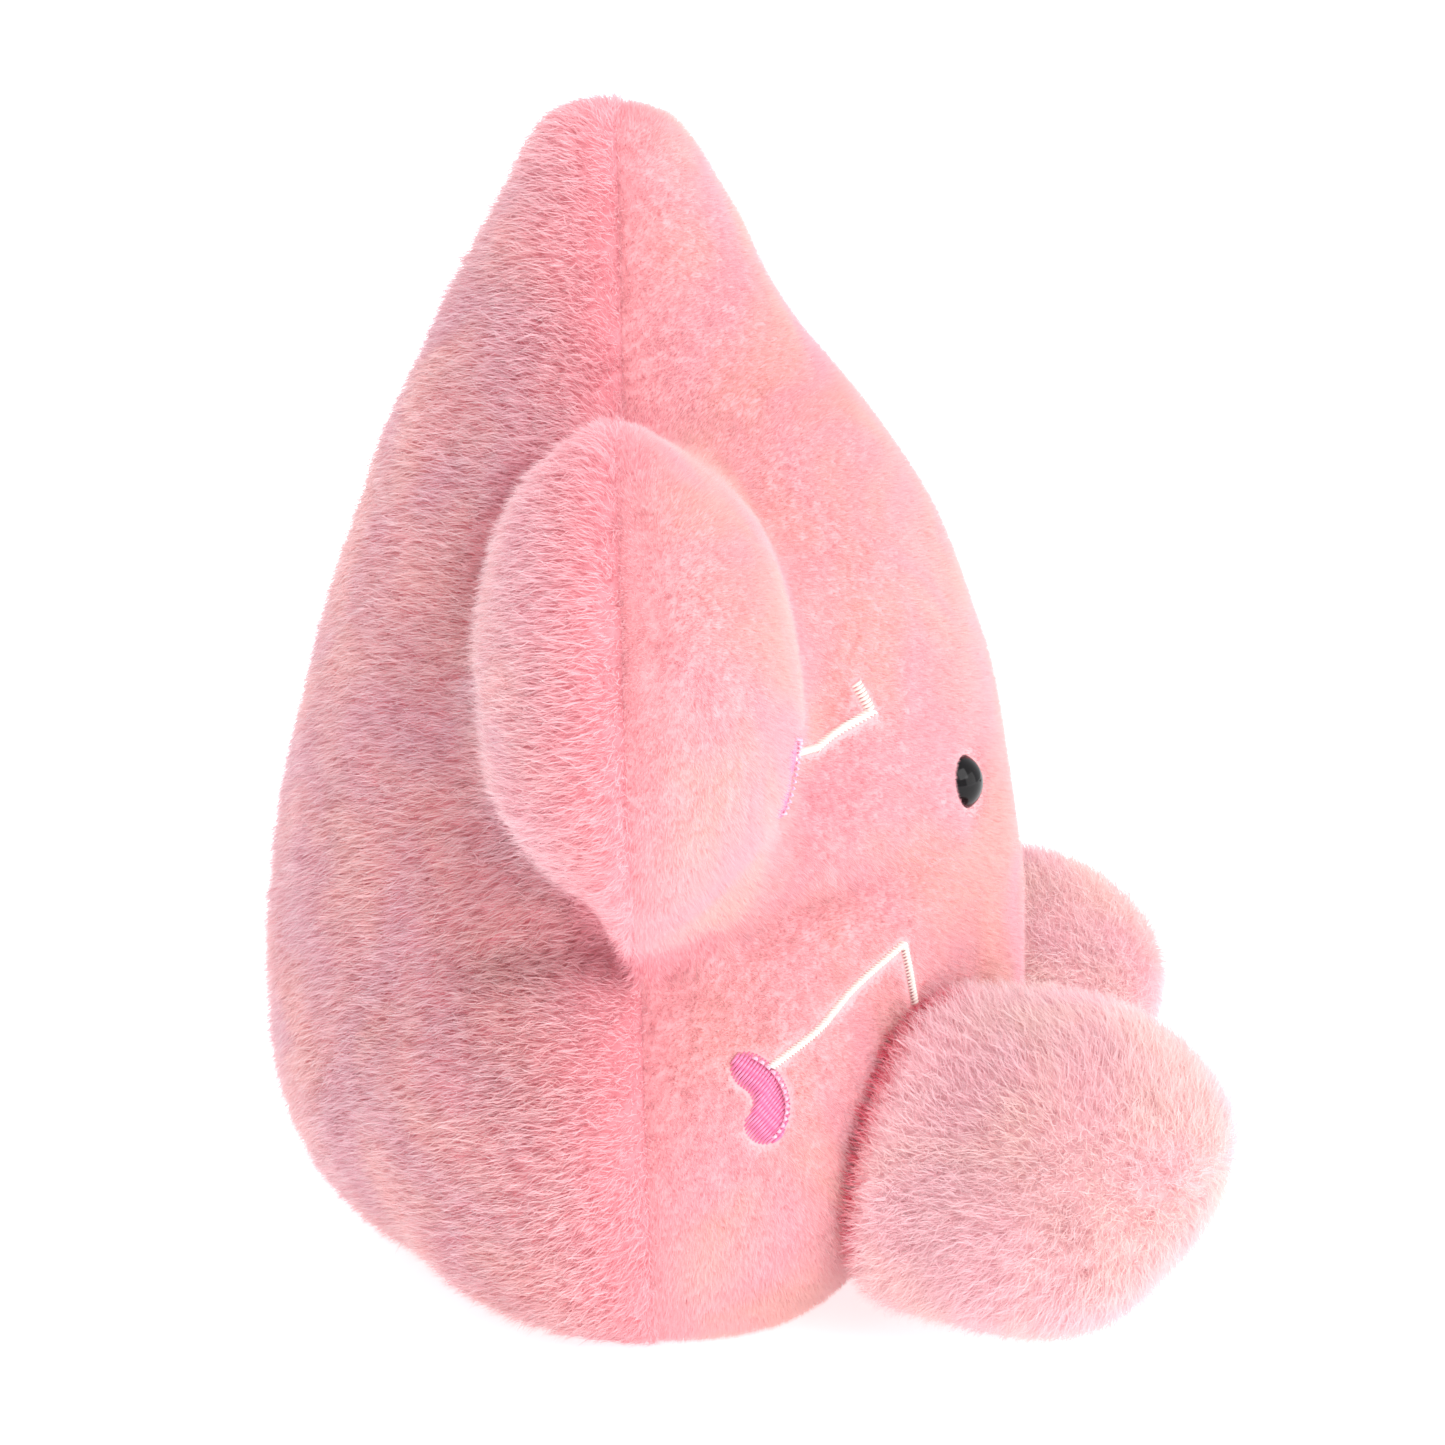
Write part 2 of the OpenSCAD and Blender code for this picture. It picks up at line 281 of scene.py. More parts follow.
def lathe_body():
    """The body of revolution: a rounded base, one long arc from belly to tip, a blunt tip."""
    tip_up = TOY_HEIGHT - TIP_RADIUS
    narrowing = BELLY_RADIUS - TIP_RADIUS
    side_radius = (narrowing**2 + (tip_up - BELLY_UP) ** 2) / (2 * narrowing)
    sweep = math.asin((tip_up - BELLY_UP) / side_radius)
    base_up = BASE_RADIUS - BASE_CUT
    arcs = (
        (BELLY_RADIUS - BASE_RADIUS, base_up, BASE_RADIUS, -math.pi / 2, 0, 16),
        (BELLY_RADIUS - side_radius, BELLY_UP, side_radius, 0, sweep, 24),
        (0, tip_up, TIP_RADIUS, sweep, math.pi / 2, 8),
    )
    outline = [(0.0, -BASE_CUT)]
    for across, up, radius, start, end, steps in arcs:
        for step in range(steps + 1):
            angle = start + (end - start) * step / steps
            outline.append((across + radius * math.cos(angle), up + radius * math.sin(angle)))
    mesh = bpy.data.meshes.new("star")
    edges = [(i, i + 1) for i in range(len(outline) - 1)]
    mesh.from_pydata([(r, 0, z) for r, z in outline], edges, [])
    body = bpy.data.objects.new("star", mesh)
    bpy.context.collection.objects.link(body)
    use_only(body)
    bpy.ops.object.mode_set(mode="EDIT")
    bpy.ops.mesh.select_all(action="SELECT")
    bpy.ops.mesh.spin(steps=72, angle=2 * math.pi, center=(0, 0, 0), axis=(0, 0, 1))
    bpy.ops.mesh.select_all(action="SELECT")
    bpy.ops.mesh.remove_doubles(threshold=0.01 * MM)
    bpy.ops.mesh.normals_make_consistent(inside=False)
    bpy.ops.object.mode_set(mode="OBJECT")
    return body


def add_ball(centre, half, turn=0.0):
    """A ball of filling at its place, with its half sizes and its turn about the upright."""
    bpy.ops.mesh.primitive_uv_sphere_add(
        segments=48, ring_count=32, radius=1.0, location=centre, rotation=(0, 0, turn)
    )
    ball = bpy.context.object
    ball.scale = half
    bpy.ops.object.transform_apply(location=True, rotation=True, scale=True)
    return ball


def swell(piece, held, most):
    """Blows a closed cloth shape up from inside, but for the points that a seam holds.

    It runs at ten times the size, where the usual settings for a cushion's cloth are right. The
    filling and the backing hold the cloth in, so no point is let move further than most.
    """
    magnify = 10
    frames = 20
    rest = points_of(piece)
    group = piece.vertex_groups.new(name="held")
    group.add(np.flatnonzero(held).tolist(), 1.0, "REPLACE")
    move_points(piece, rest * magnify)
    cloth = piece.modifiers.new("cloth", "CLOTH")
    cloth.settings.quality = 5
    cloth.settings.mass = 0.3
    cloth.settings.tension_stiffness = 12
    cloth.settings.compression_stiffness = 12
    cloth.settings.bending_stiffness = 0.3
    cloth.settings.use_pressure = True
    cloth.settings.uniform_pressure_force = 60
    cloth.settings.effector_weights.gravity = 0
    cloth.settings.vertex_group_mass = "held"
    cloth.point_cache.frame_start = 1
    cloth.point_cache.frame_end = frames
    for step in range(1, frames + 1):
        bpy.context.scene.frame_set(step)
    use_only(piece)
    bpy.ops.object.modifier_apply(modifier=cloth.name)
    bpy.context.scene.frame_set(1)
    move = points_of(piece) / magnify - rest
    reach = np.linalg.norm(move, axis=1)
    usual = reach.mean() / MM
    longest = reach.max() / MM
    print(f"{piece.name}: swells by {usual:.2f} mm on average, {longest:.2f} mm at most")
    move *= np.minimum(1, most / np.maximum(reach, 1e-9))[:, None]
    move_points(piece, rest + move)


star = lathe_body()
balls = []
for side in SIDES.values():
    balls.append(add_ball((side * ARM_OUT, 0, ARM_UP), ARM_HALF))
    balls.append(add_ball((side * LOBE_OUT, 0, LOBE_UP), LOBE_HALF))
use_only(star)
for ball in balls:
    ball.select_set(True)
bpy.ops.object.join()
apply_modifier(star, "REMESH", mode="VOXEL", voxel_size=SKIN_VOXEL)
move_points(star, points_of(star) - SKIN_INSET * normals_of(star))
spots = points_of(star)
swell(star, (abs(spots[:, 1]) < HELD_BAND) | (spots[:, 2] < HELD_BAND), MOST_SWELL)
apply_modifier(star, "SUBSURF", levels=2, render_levels=2)

# The filling bridges the inner corner under the front of each side arm
BRIDGE = [(30 * MM, -22 * MM, 60 * MM), (38 * MM, -12 * MM, 52 * MM)]
BRIDGE_WIDTH = 9 * MM
BRIDGE_ROUNDS = 70
spots = points_of(star)
mirrored = np.column_stack([abs(spots[:, 0]), spots[:, 1], spots[:, 2]])
reach = hump(distance_to_path(mirrored, BRIDGE), BRIDGE_WIDTH)
bridged = star.vertex_groups.new(name="bridged")
for i in np.flatnonzero(reach > 0.02):
    bridged.add([int(i)], float(reach[i]), "REPLACE")
apply_modifier(star, "SMOOTH", factor=1.0, iterations=BRIDGE_ROUNDS, vertex_group="bridged")

# How far the filling pushes the star's middle ahead, the back of its top arm out and its tip up,
# how much thinner it leaves other places, and how deep the cloth folds in and is drawn down
SPINE_SWAY = 1.6 * MM
SPINE_FILL = 1.0 * MM
TIP_RISE = 1.4 * MM
ARM_TAPER = 0.34
HOLLOW_DEPTH = 1.6 * MM
TIP_FULLNESS = 1.3 * MM
SEAM_DEPTH = 0.15 * MM
SEAM_WIDTH = 1.6 * MM
FOLD_DEPTH = 2.4 * MM
FOLD_WIDTH = 3.0 * MM
BACK_FOLD_SHARE = 0.35
DIMPLE_DEPTH = 0.7 * MM
DIMPLE_WIDTH = 4.5 * MM
SEAT_TRIM = 2.0 * MM
UNDER_FOOT_BULGE = 1.0 * MM
LUMP_HEIGHT = 0.35 * MM
EYE_PLACE = (17 * MM, -35 * MM, 55 * MM)
SEAT_LIFT = 0.3 * MM

spots = points_of(star)
outward = normals_of(star)
x, y, z = spots.T
spots[:, 1] -= SPINE_SWAY * hump(z - 72 * MM, 26 * MM)
spots[:, 1] += SPINE_FILL * hump(z - 107 * MM, 6 * MM) * smooth_step(y / (4 * MM))
spots[:, 2] += TIP_RISE * smooth_step((z - 95 * MM) / (25 * MM))

# The back of a side arm runs in to the seam below its middle, so the arm ends in a blunt point
in_arm = smooth_step((abs(x) - 32 * MM) / (6 * MM)) * smooth_step((z - 38 * MM) / (6 * MM))
below = np.clip(64 * MM - z, 0, 20 * MM)
spots[:, 1] -= ARM_TAPER * below * in_arm * smooth_step(y / (8 * MM))
frontness = np.clip(-outward[:, 1], 0, 1)
inward = HOLLOW_DEPTH * frontness * hump(z - 100 * MM, 8 * MM)
inward -= TIP_FULLNESS * smooth_step((z - 107 * MM) / (8 * MM))
inward += SEAM_DEPTH * hump(y, SEAM_WIDTH) * smooth_step((z - 4 * MM) / (6 * MM))

# The folds in the inner corners of the side arms. The one under an arm fades out on the face
mirrored = np.column_stack([abs(x), y, z])
face_fold = [
    (38 * MM, 0, 42 * MM),
    (36 * MM, -11 * MM, 46 * MM),
    (31 * MM, -24 * MM, 48 * MM),
    (24 * MM, -32 * MM, 50 * MM),
]
fading = smooth_step((y + 36 * MM) / (20 * MM)) * (1 - 0.7 * hump(y, 7 * MM))
inward += FOLD_DEPTH * fading * hump(distance_to_path(mirrored, face_fold), FOLD_WIDTH)
back_fold = [(38 * MM, 2 * MM, 44 * MM), (37 * MM, 9 * MM, 51 * MM), (35 * MM, 17 * MM, 60 * MM)]
inward += BACK_FOLD_SHARE * FOLD_DEPTH * hump(distance_to_path(mirrored, back_fold), FOLD_WIDTH)
inward = np.minimum(inward, FOLD_DEPTH)
top_fold = [(26 * MM, 9 * MM, 91 * MM), (27.5 * MM, 11 * MM, 87 * MM), (29 * MM, 13 * MM, 82 * MM)]
inward += FOLD_DEPTH * hump(distance_to_path(mirrored, top_fold), FOLD_WIDTH)

# The edge that the toy sits on, the bulges under its feet, the drawn eyes and the uneven filling
inward += SEAT_TRIM * hump(z, 4 * MM) * smooth_step(y / (18 * MM))
under_foot = [(30 * MM, -14 * MM, 4 * MM), (30 * MM, -24 * MM, 5 * MM)]
inward -= UNDER_FOOT_BULGE * hump(distance_to_path(mirrored, under_foot), 9 * MM)
inward += DIMPLE_DEPTH * hump(np.linalg.norm(mirrored - EYE_PLACE, axis=1), DIMPLE_WIDTH)
lumps = np.sin(x / MM * 0.31 + 1.3) * np.sin(y / MM * 0.27 + 0.4) * np.sin(z / MM * 0.23 + 2.1)
inward += LUMP_HEIGHT * lumps
spots -= inward[:, None] * outward
move_points(star, star_to_frame(spots))
spots = points_of(star)
spots[:, 2] = np.maximum(spots[:, 2], SEAT_LIFT)
move_points(star, spots)
bpy.ops.object.shade_smooth()

star_tree = BVHTree.FromPolygons(
    [Vector(p) for p in points_of(star)], [tuple(f.vertices) for f in star.data.polygons]
)


# ---------------------------------------------------------------------------------------------
# The two panels of knitted backing that the pile is tied into. They are cut from the star along
# its seam plane, and each gets the thickness of the cloth.
# ---------------------------------------------------------------------------------------------
CLOTH_THICK = 0.8 * MM
# The share of its faces that a panel keeps under the pile, which hides the difference
CLOTH_DETAIL = 0.3


def how_deep(piece, reach, rays, seed):
    """How shut in each of a piece's points is, from 0 in the open to 1 far down in a fold."""
    rng = np.random.default_rng(seed)
    spread = rng.normal(size=(rays, 3))
    spread /= np.linalg.norm(spread, axis=1)[:, None]
    spots = points_of(piece)
    outward = normals_of(piece)
    hits = np.zeros(len(spots))
    for ray in spread:
        aim = outward + 0.95 * ray
        for i in range(len(spots)):
            start = Vector(spots[i] + 0.3 * MM * outward[i])
            if star_tree.ray_cast(start, Vector(aim[i]), reach)[0] is not None:
                hits[i] += 1
    return hits / rays


# Painted shade: how shut in the star is at each point, which the pile shows as a darker pink in its folds.
star_fold_shade = how_deep(star, reach=14 * MM, rays=8, seed=5)
star.data.attributes.new("fold_shade", "FLOAT", "POINT").data.foreach_set("value", star_fold_shade)


def cut_panel(name, front):
    """One side of the star, cut off at the seam plane."""
    panel = star.copy()
    panel.data = star.data.copy()
    panel.name = name
    bpy.context.collection.objects.link(panel)
    use_only(panel)
    bpy.ops.object.mode_set(mode="EDIT")
    bpy.ops.mesh.select_all(action="SELECT")
    bpy.ops.mesh.bisect(
        plane_co=(0, BODY_BACK, BELLY_UP),
        plane_no=(0, math.cos(LEAN), -math.sin(LEAN)),
        clear_outer=front,
        clear_inner=not front,
    )
    bpy.ops.object.mode_set(mode="OBJECT")
    return panel


# Knitted backing cloth, dyed with the pile, and a little darker than most of its fibres as painted
# shade: it gives the deep pink between the tufts.
def backing_material(name, near_hex, far_hex):
    material, tree, shader = new_material(name)
    shader.inputs["Roughness"].default_value = 0.9
    shader.inputs["Specular IOR Level"].default_value = 0.15
    shader.inputs["Sheen Weight"].default_value = 0.3
    patches = pattern(tree, "ShaderNodeTexNoise", {"Scale": 90.0, "Detail": 3.0})
    colour_by(tree, shader, patches.outputs["Fac"], near_hex, far_hex)
    knit = pattern(tree, "ShaderNodeTexNoise", {"Scale": 1400.0, "Detail": 2.0})
    raise_by(tree, shader, knit.outputs["Fac"], 0.5, 0.3 * MM)
    return material


front_backing = backing_material("knitted backing of the short pile", "#FCBDC4", "#FCC1C1")
back_backing = backing_material("knitted backing of the long pile", "#F6A9B3", "#F9B2B8")

front_cloth = cut_panel("front_cloth", front=True)
back_cloth = cut_panel("back_cloth", front=False)
panels = {}
for cloth, node, slot, backing in (
    (front_cloth, "front_panel", "short_plush", front_backing),
    (back_cloth, "back_panel", "long_plush", back_backing),
):
    outer = cloth.copy()
    outer.data = cloth.data.copy()
    outer.name = node + "_outside"
    panels[node] = outer
    apply_modifier(cloth, "DECIMATE", ratio=CLOTH_DETAIL)
    apply_modifier(cloth, "SOLIDIFY", thickness=CLOTH_THICK, offset=-1)
    wear(cloth, backing)
    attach(cloth, "body")
    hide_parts(node)
bpy.data.objects.remove(star)

# ---------------------------------------------------------------------------------------------
# The pile: acrylic fibres tied into the backing. The face side is sheared short and stands up.
# The back is left long, combed back from the seam, and its fibres gather into small tufts.
# ---------------------------------------------------------------------------------------------
FRONT_PILE = 1.15 * MM
BACK_PILE = 3.6 * MM
FRONT_PER_MM2 = 36
BACK_PER_MM2 = 13
PILE_FLOOR = 0.06 * MM


def tangent(direction, outward):
    """The part of each direction that lies along the surface, at unit length."""
    flat = direction - (direction * outward).sum(axis=1)[:, None] * outward
    return flat / np.maximum(np.linalg.norm(flat, axis=1), 1e-9)[:, None]


def unit(vectors):
    """Vectors of the same directions, one unit long."""
    return vectors / np.maximum(np.linalg.norm(vectors, axis=1), 1e-9)[:, None]


def sow(cloth, per_mm2, rng):
    """Places on a cloth's outside for fibres to grow from, evenly by area."""
    cloth.data.calc_loop_triangles()
    corners = np.empty(3 * len(cloth.data.loop_triangles), dtype=int)
    cloth.data.loop_triangles.foreach_get("vertices", corners)
    corners = corners.reshape(-1, 3)
    spots = points_of(cloth)
    outward = normals_of(cloth)
    fold_shade = np.zeros(len(spots))
    if "fold_shade" in cloth.data.attributes:
        cloth.data.attributes["fold_shade"].data.foreach_get("value", fold_shade)
    a, b, c = (spots[corners[:, i]] for i in range(3))
    area = 0.5 * np.linalg.norm(np.cross(b - a, c - a), axis=1)
    count = int(area.sum() / MM**2 * per_mm2)
    chosen = corners[np.sort(rng.choice(len(corners), count, p=area / area.sum()))]
    first = rng.random(count)
    second = rng.random(count)
    over = first + second > 1
    first[over] = 1 - first[over]
    second[over] = 1 - second[over]
    share = np.column_stack([1 - first - second, first, second])
    roots = (spots[chosen] * share[:, :, None]).sum(axis=1)
    up = unit((outward[chosen] * share[:, :, None]).sum(axis=1))
    closed = (fold_shade[chosen] * share).sum(axis=1)
    return roots, up, closed


def grow(name, roots, up, closed, comb, length, lie, shade, blade, clump, material, rng, kinks=2):
    """Fibres as thin blades that bend over along comb, each tapering to a point.

    lie is how far a fibre bends over, from 0, upright, to 1, flat. shade runs from 0 at the seam
    to 1 far from it. blade is a fibre's width, how many grow on a square millimetre, and how
    unruly they are. clump is the spacing of the tufts and how strongly the tips gather into them.
    """
    count = len(roots)
    jitter = rng.normal(size=(count, 3))
    low = unit(up * (1 - 0.6 * lie)[:, None] + comb * (0.6 * lie)[:, None] + 0.7 * blade[2] * jitter)
    high = unit(up * (1 - lie)[:, None] + comb * lie[:, None] + blade[2] * rng.normal(size=(count, 3)))
    length = length * rng.uniform(0.72, 1.12, count)
    knee = 0.45
    middle = roots + low * (knee * length)[:, None]
    tip = middle + high * ((1 - knee) * length)[:, None]
    spacing, pull = clump
    if pull > 0:
        area_mm2 = count / blade[1]
        centres = rng.choice(count, max(8, int(area_mm2 / (spacing / MM) ** 2)), replace=False)
        tufts = KDTree(len(centres))
        for i, centre in enumerate(centres):
            tufts.insert(Vector(roots[centre]), i)
        tufts.balance()
        nearest = np.array([tufts.find(Vector(root))[1] for root in roots])
        leader = centres[nearest]
        strength = pull * rng.uniform(0.4, 1.0, count)[:, None]
        tip += strength * (tip[leader] - tip)
        middle += 0.35 * strength * (middle[leader] - middle)
    base = roots - 0.3 * MM * up
    across = unit(np.cross(tip - base, rng.normal(size=(count, 3))))
    half = 0.5 * blade[0] * rng.uniform(0.8, 1.2, count)[:, None]
    if kinks == 1:
        rows = [base - half * across, base + half * across, tip]
        shape = [(0, 1, 2)]
        along = [0.0, 0.0, 1.0]
    else:
        rows = [
            base - half * across, base + half * across,
            middle - 0.8 * half * across, middle + 0.8 * half * across, tip,
        ]
        shape = [(0, 1, 2), (1, 3, 2), (2, 3, 4)]
        along = [0.0, 0.0, 0.5, 0.5, 1.0]
    size = len(rows)
    spots = np.stack(rows, axis=1).reshape(-1, 3)
    spots[:, 2] = np.maximum(spots[:, 2], PILE_FLOOR)
    faces = (np.arange(count)[:, None, None] * size + np.array(shape)).reshape(-1, 3)
    mesh = bpy.data.meshes.new(name)
    mesh.vertices.add(len(spots))
    mesh.vertices.foreach_set("co", spots.ravel())
    mesh.loops.add(faces.size)
    mesh.loops.foreach_set("vertex_index", faces.ravel())
    mesh.polygons.add(len(faces))
    mesh.polygons.foreach_set("loop_start", np.arange(len(faces)) * 3)
    for label, values in (
        ("along", np.tile(along, count) * np.repeat(np.minimum(1, length / np.median(length)), size)),
        ("tint", np.repeat(rng.random(count), size)),
        ("fold_shade", np.repeat(closed, size)),
        ("shade", np.repeat(shade, size)),
    ):
        mesh.attributes.new(label, "FLOAT", "POINT").data.foreach_set("value", values)
    mesh.update(calc_edges=True)
    pile = bpy.data.objects.new(name, mesh)
    bpy.context.collection.objects.link(pile)
    wear(pile, material)
    return pile


# Acrylic pile: matte and soft, deeper in colour at its roots, with painted shade in the folds, where
# it runs to a darker, stronger pink. Its pale tips are partly a frosting of the fibres and partly a
# painted highlight. It is dyed a little unevenly, so rose and peach patches about 10 mm wide run into
# each other. Beside the seam the pile is parted, so a warmer band of its lower part shows there. Some
# of the light goes through a fibre instead of back from it, which fills the shadows between the tufts.
def pile_material(name, seam_hex, root_hex, rose_hex, peach_hex, tip_hex, fold_shade_hex, tip_share, glow):
    material, tree, shader = new_material(name)
    shader.inputs["Roughness"].default_value = 0.75
    shader.inputs["Specular IOR Level"].default_value = 0.25
    shader.inputs["Sheen Weight"].default_value = 0.3
    shader.inputs["Sheen Roughness"].default_value = 0.5
    patches = pattern(tree, "ShaderNodeTexNoise", {"Scale": 75.0, "Detail": 2.0, "Distortion": 0.6})
    spread = add(tree, "ShaderNodeMapRange", {"From Min": 0.38, "From Max": 0.62},
                 {"Value": patches.outputs["Fac"]})
    body = add(tree, "ShaderNodeMix", {"data_type": "RGBA", 6: linear(rose_hex), 7: linear(peach_hex)},
               {0: spread.outputs[0]})
    along = add(tree, "ShaderNodeAttribute", {"attribute_name": "along"})
    tint = add(tree, "ShaderNodeAttribute", {"attribute_name": "tint"})
    fold_shade = add(tree, "ShaderNodeAttribute", {"attribute_name": "fold_shade"})
    rising = add(tree, "ShaderNodeMapRange", {"From Min": 0.0, "From Max": 0.45},
                 {"Value": along.outputs["Fac"]})
    rooted = add(tree, "ShaderNodeMix", {"data_type": "RGBA", 6: linear(root_hex)},
                 {0: rising.outputs[0], 7: body.outputs[2]})
    shade = add(tree, "ShaderNodeAttribute", {"attribute_name": "shade"})
    dyed = add(tree, "ShaderNodeMix", {"data_type": "RGBA", 6: linear(seam_hex)},
               {0: shade.outputs["Fac"], 7: rooted.outputs[2]})
    # Pale tips: partly a frosting of the fibres and partly a painted highlight, strongest on some fibres.
    ends = add(tree, "ShaderNodeMapRange", {"From Min": 0.55, "From Max": 1.0},
               {"Value": along.outputs["Fac"]})
    tip_frost_and_highlight = add(tree, "ShaderNodeMath", {"operation": "MULTIPLY"},
                  {0: ends.outputs[0], 1: tint.outputs["Fac"]})
    frost_and_highlight = add(tree, "ShaderNodeMath", {"operation": "MULTIPLY", 1: tip_share},
                {0: tip_frost_and_highlight.outputs[0]})
    tipped = add(tree, "ShaderNodeMix", {"data_type": "RGBA", 7: linear(tip_hex)},
                 {0: frost_and_highlight.outputs[0], 6: dyed.outputs[2]})
    # Painted shade: the colour runs to the darker, stronger pink where the pile lies shut in a fold.
    fold_shade_share = add(tree, "ShaderNodeMapRange", {"From Min": 0.08, "From Max": 0.7, "To Max": 0.9},
                  {"Value": fold_shade.outputs["Fac"]})
    fold_shaded = add(tree, "ShaderNodeMix", {"data_type": "RGBA", 7: linear(fold_shade_hex)},
                 {0: fold_shade_share.outputs[0], 6: tipped.outputs[2]})
    tree.links.new(fold_shaded.outputs[2], shader.inputs["Base Color"])
    through = add(tree, "ShaderNodeBsdfTranslucent", links={"Color": fold_shaded.outputs[2]})
    fibre = add(tree, "ShaderNodeMixShader", {0: glow}, {1: shader.outputs[0], 2: through.outputs[0]})
    tree.links.new(fibre.outputs[0], tree.nodes["Material Output"].inputs["Surface"])
    return material


short_pile = pile_material("sheared short acrylic pile", "#FFCBD1", "#FDC9CF", "#FCD1D8", "#FDD7D2",
                           "#FFEBEC", "#F48AA0", 0.6, 0.12)
long_pile = pile_material("combed long acrylic pile", "#FFCDD3", "#F5A9B4", "#F0C3CC", "#F7CAC9",
                          "#FFF4F5", "#D84870", 1.2, 0.2)


def wander(spots, scale, phase):
    """A smooth field between -1 and 1 that changes over about scale."""
    x, y, z = (spots / scale).T
    broad = np.sin(x + 1.7 * np.sin(y + phase)) * np.cos(z + 1.3 * np.sin(x - phase))
    return broad + 0.3 * np.sin(2 * y + z)


def turn_about(direction, axis, angle):
    """Turns each direction about its own axis."""
    return direction * np.cos(angle)[:, None] + np.cross(axis, direction) * np.sin(angle)[:, None]


# Embroidered figures, as the distance outward and the height on the plane that each one faces
FIGURES = {
    "arm": {
        "facing": 0,
        "line": [(27, 66), (27, 63), (32.5, 60.6), (39.5, 61.5)],
        "crescent": (43.5, 60),
    },
    "hip": {
        "facing": math.radians(50),
        "line": [(-2.5, 33.5), (-1.5, 40), (17.8, 31.2)],
        "crescent": (21.7, 28.5),
    },
}
CRESCENT_RADIUS = 3.4
CRESCENT_WIDTH = 3.8
CRESCENT_HALF_ANGLE = math.radians(52)


def sewn_places(facing, side, flat):
    """Where flat points of a figure lie on the star's cloth, and the cloth's outward direction."""
    flat = np.array(flat) * MM
    outward = Vector((side * math.sin(facing), -math.cos(facing), 0))
    start = np.column_stack([
        side * (flat[:, 0] * math.cos(facing) + 0.1 * math.sin(facing)),
        flat[:, 0] * math.sin(facing) - 0.1 * math.cos(facing),
        flat[:, 1],
    ])
    places = []
    normals = []
    for point in star_to_frame(start):
        place, normal = star_tree.ray_cast(Vector(point), -outward)[:2]
        places.append(place if place is not None else Vector(point) - 0.1 * outward)
        normals.append(normal if normal is not None else outward)
    return np.array(places), np.array(normals)


def figure_distance(spots):
    """How far each place is from the nearest embroidered figure."""
    nearest = np.full(len(spots), np.inf)
    for figure, facts in FIGURES.items():
        cx, cy = facts["crescent"]
        arc = []
        for step in range(9):
            angle = math.pi + CRESCENT_HALF_ANGLE * (step / 4 - 1)
            arc.append((cx + CRESCENT_RADIUS * math.cos(angle), cy + CRESCENT_RADIUS * math.sin(angle)))
        for side in SIDES.values():
            line = sewn_places(facts["facing"], side, facts["line"])[0]
            nearest = np.minimum(nearest, distance_to_path(spots, line))
            bow = sewn_places(facts["facing"], side, arc)[0]
            beyond = distance_to_path(spots, bow) - 0.5 * (CRESCENT_WIDTH - 1) * MM
            nearest = np.minimum(nearest, beyond)
    return nearest


def split_to_pieces(name, sown, keys, settings, material, rng, kinks):
    """Grows a cloth's pile as several pieces, one for each key, all riding with the star."""
    for key in np.unique(keys):
        pick = keys == key
        piece = grow(f"{name}_{key}", *(values[pick] for values in sown),
                     *(values[pick] for values in settings["each"]),
                     settings["blade"], settings["clump"], material, rng, kinks)
        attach(piece, "body")


rng = np.random.default_rng(11)
sown = sow(panels["front_panel"], FRONT_PER_MM2, rng)
roots, up, closed = sown
at_star = frame_to_star(roots)
beside = figure_distance(roots)
eye_gap = np.linalg.norm(np.column_stack([abs(at_star[:, 0]), at_star[:, 1:]]) - EYE_PLACE, axis=1)
length = FRONT_PILE * (0.1 + 0.9 * smooth_step((beside - 0.45 * MM) / (1.0 * MM)))
length *= 0.3 + 0.7 * smooth_step((eye_gap - 3.0 * MM) / (2.0 * MM))
# Painted shade round the eyes and the embroidery, where the pile is sheared short: a darker pink.
closed += 0.3 * hump(eye_gap, 4.5 * MM) + 0.12 * hump(beside, 1.5 * MM)
down = np.tile([0.0, 0.25, -1.0], (len(roots), 1))
comb = turn_about(tangent(down, up), up, 0.5 * wander(roots, 16 * MM, 0.7))
lie = 0.3 + 0.12 * wander(roots, 9 * MM, 2.0)
near_seat = smooth_step(1 - roots[:, 2] / (3 * MM))
keys = (roots[:, 0] > 0).astype(int) + 2 * (roots[:, 2] > 55 * MM)
split_to_pieces("front_pile", sown, keys, {
    "each": (comb, length, np.clip(lie + 0.5 * near_seat, 0, 1), smooth_step(-at_star[:, 1] / (7 * MM))),
    "blade": (0.116 * MM, FRONT_PER_MM2, 0.14), "clump": (1.2 * MM, 0.0), "slot": "short_plush",
}, short_pile, rng, 1)

rng = np.random.default_rng(12)
sown = sow(panels["back_panel"], BACK_PER_MM2, rng)
roots, up, closed = sown
at_star = frame_to_star(roots)
from_seam = smooth_step(at_star[:, 1] / (9 * MM))
length = BACK_PILE * (0.62 + 0.38 * from_seam)
over_seam = smooth_step(1 - at_star[:, 1] / (3.5 * MM))
backwards = np.tile([0.0, 1.0, -0.05], (len(roots), 1))
backwards[:, 1] -= 1.7 * over_seam * rng.random(len(roots))
backwards[:, 2] -= 0.8 * smooth_step((at_star[:, 1] - 26 * MM) / (14 * MM))
comb = turn_about(tangent(backwards, up), up, 0.22 * wander(roots, 13 * MM, 0.2))
lie = (0.58 + 0.1 * wander(roots, 8 * MM, 1.1)) * (1 - 0.35 * over_seam)
near_seat = smooth_step(1 - roots[:, 2] / (4 * MM))
keys = (roots[:, 0] > 0).astype(int) + 2 * (roots[:, 2] > 34 * MM) + 2 * (roots[:, 2] > 70 * MM)
split_to_pieces("back_pile", sown, keys, {
    "each": (comb, length, np.clip(lie + 0.3 * near_seat, 0, 0.95), smooth_step(at_star[:, 1] / (16 * MM))),
    "blade": (0.125 * MM, BACK_PER_MM2, 0.26), "clump": (1.1 * MM, 0.3), "slot": "long_plush",
}, long_pile, rng, 2)
